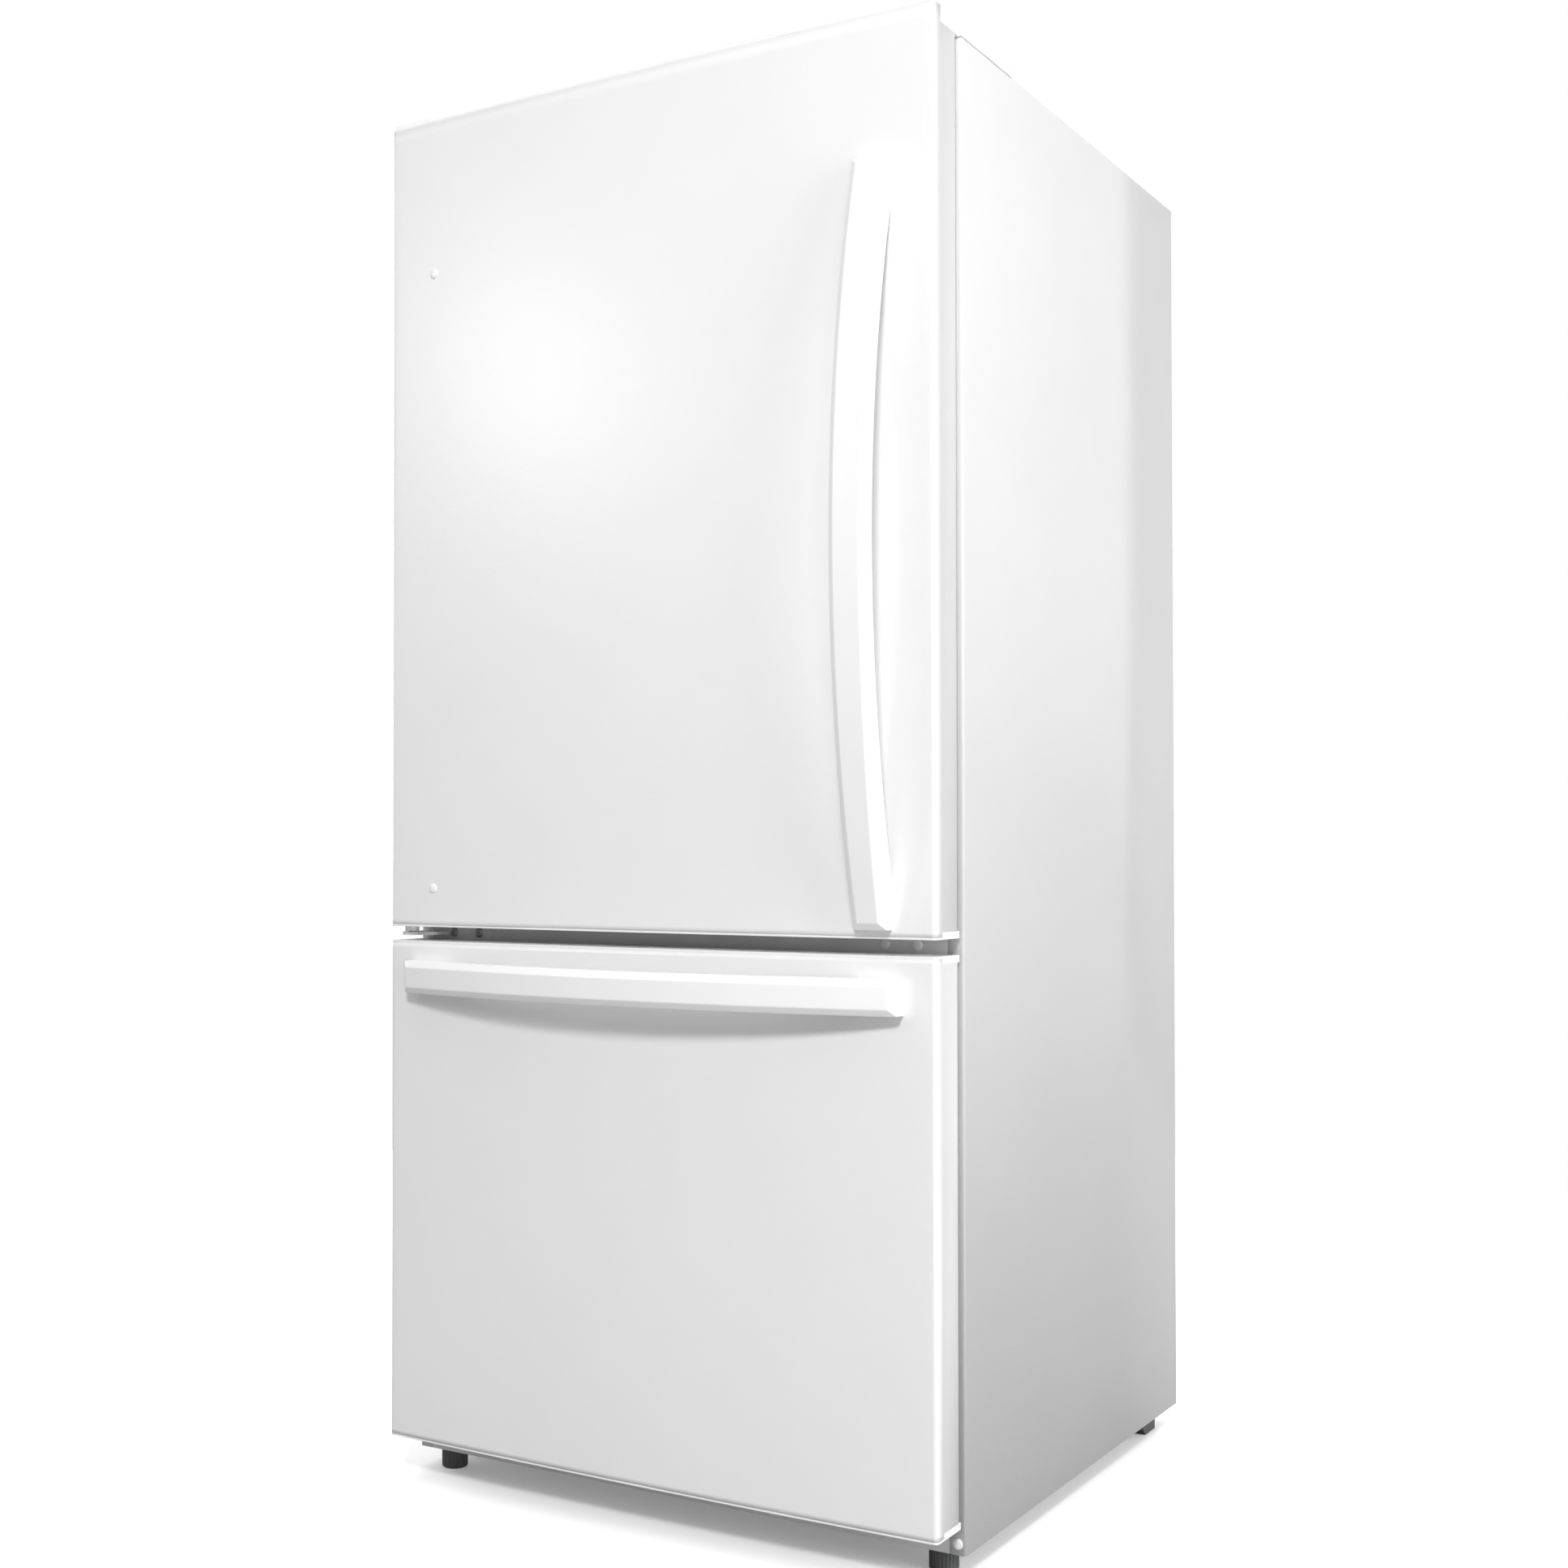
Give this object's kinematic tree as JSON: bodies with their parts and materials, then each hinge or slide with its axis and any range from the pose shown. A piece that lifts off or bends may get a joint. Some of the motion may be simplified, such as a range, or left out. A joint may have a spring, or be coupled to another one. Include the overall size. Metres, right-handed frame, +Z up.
{
  "type": "bottom-mount refrigerator",
  "caption": "Free-standing bottom-mount refrigerator with a left-hinged door over a pull-out freezer drawer, both with bowed handles, and a fitted interior.",
  "frame": {"origin": "bottom centre of the whole object's box, on the floor", "axes": "+X to the right of someone facing the door, +Y from the door into the cabinet, +Z up"},
  "size_m": [0.755, 0.858, 1.7155],
  "materials": {
    "painted_steel_white": "satin",
    "galvanised_steel": "satin",
    "white_abs": "satin",
    "white_liner": "satin",
    "insulation_foam": "matte",
    "black_plastic": "matte",
    "grey_plastic": "matte",
    "black_rubber": "matte",
    "gasket_vinyl": "matte",
    "shelf_glass": "gloss",
    "clear_plastic": "gloss",
    "lamp_lens": "satin",
    "black_enamel": "satin",
    "aluminium_fins": "satin",
    "copper_tube": "satin",
    "zinc_steel": "satin"
  },
  "bodies": {
    "cabinet": {"cabinet_wrapper": "painted_steel_white", "back_panel": "galvanised_steel", "cabinet_insulation": "insulation_foam", "fresh_food_liner": "white_liner", "freezer_liner": "white_liner", "base_frame": "painted_steel_white", "centre_rail": "painted_steel_white", "hole_plugs": "white_abs", "top_hinge": "zinc_steel", "middle_hinge": "painted_steel_white", "hinge_screws": "zinc_steel", "top_cover": "white_abs", "condenser_fan_motor": "galvanised_steel", "condenser": "black_enamel", "drain_pan": "grey_plastic", "compressor": "black_enamel", "compressor_grommets": "black_rubber", "refrigerant_lines": "copper_tube", "machine_cover": "galvanised_steel", "mains_inlet": "black_plastic", "evaporator": "aluminium_fins", "evaporator_fan_motor": "grey_plastic", "freezer_back_panel": "white_liner", "air_tower": "white_liner", "shelf_ladders": "painted_steel_white", "shelf_frames": "white_abs", "shelf_glass": "shelf_glass", "crisper_cover": "shelf_glass", "crisper_frame": "white_abs", "control_housing": "white_abs", "light_lens": "lamp_lens", "slide_rails_fixed": "zinc_steel", "rear_skids": "black_plastic"},
    "door": {"door_skin": "painted_steel_white", "door_top_cap": "white_abs", "door_bottom_cap": "white_abs", "door_insulation": "insulation_foam", "door_liner": "white_liner", "door_gasket": "gasket_vinyl", "door_handle": "white_abs", "door_plugs": "white_abs", "door_bins": "clear_plastic"},
    "freezer_drawer": {"drawer_skin": "painted_steel_white", "drawer_end_caps": "white_abs", "drawer_insulation": "insulation_foam", "drawer_liner": "white_liner", "drawer_gasket": "gasket_vinyl", "drawer_handle": "white_abs", "slide_rails_drawer": "zinc_steel", "freezer_basket": "white_abs"},
    "crisper_left": {"crisper_left": "clear_plastic"},
    "crisper_right": {"crisper_right": "clear_plastic"},
    "slide_rails_middle": {"slide_rails_middle": "zinc_steel"},
    "upper_tray": {"upper_tray": "white_abs"},
    "dairy_lid": {"dairy_lid": "clear_plastic"},
    "thermostat_knob": {"thermostat_knob": "white_abs"},
    "condenser_fan": {"condenser_fan_blade": "black_plastic"},
    "evaporator_fan": {"evaporator_fan_blade": "grey_plastic"},
    "front_foot_left": {"front_foot_left": "black_plastic"},
    "front_foot_right": {"front_foot_right": "black_plastic"}
  },
  "joints": [
    {"name": "door_hinge", "type": "hinge", "parent": "cabinet", "child": "door", "pos_m": [-0.361, -0.33098, 0.687], "axis": [0, 0, -1], "range_deg": [0, 135]},
    {"name": "crisper_left_slide", "type": "slide", "parent": "cabinet", "child": "crisper_left", "axis": [0, -1, 0], "range_m": [0, 0.217]},
    {"name": "crisper_right_slide", "type": "slide", "parent": "cabinet", "child": "crisper_right", "axis": [0, -1, 0], "range_m": [0, 0.217]},
    {"name": "freezer_drawer_slide", "type": "slide", "parent": "cabinet", "child": "freezer_drawer", "axis": [0, -1, 0], "range_m": [0, 0.43]},
    {"name": "middle_rail_slide", "type": "slide", "parent": "cabinet", "child": "slide_rails_middle", "axis": [0, -1, 0], "range_m": [0, 0.215]},
    {"name": "upper_tray_slide", "type": "slide", "parent": "freezer_drawer", "child": "upper_tray", "axis": [0, 1, 0], "range_m": [0, 0.175]},
    {"name": "dairy_lid_hinge", "type": "hinge", "parent": "door", "child": "dairy_lid", "pos_m": [0.1485, -0.27698, 1.552], "axis": [1, 0, 0], "range_deg": [0, 85]},
    {"name": "thermostat_turn", "type": "hinge", "parent": "cabinet", "child": "thermostat_knob", "pos_m": [0.09, -0.15098, 1.6105], "axis": [0, -1, 0], "range_deg": [0, 270]},
    {"name": "condenser_fan_spin", "type": "hinge", "parent": "cabinet", "child": "condenser_fan", "pos_m": [-0.05, 0.30402, 0.149], "axis": [1, 0, 0], "continuous": true},
    {"name": "evaporator_fan_spin", "type": "hinge", "parent": "cabinet", "child": "evaporator_fan", "pos_m": [0, 0.36702, 0.55], "axis": [0, 1, 0], "continuous": true},
    {"name": "front_foot_left_screw", "type": "slide", "parent": "cabinet", "child": "front_foot_left", "axis": [0, 0, -1], "range_m": [0, 0.015]},
    {"name": "front_foot_right_screw", "type": "slide", "parent": "cabinet", "child": "front_foot_right", "axis": [0, 0, -1], "range_m": [0, 0.015]}
  ],
  "couplings": [
    {"joint": "crisper_left_slide", "follows": "door_hinge", "m_per_rad": 0.092},
    {"joint": "crisper_right_slide", "follows": "door_hinge", "m_per_rad": 0.092},
    {"joint": "middle_rail_slide", "follows": "freezer_drawer_slide", "ratio": 0.5}
  ]
}
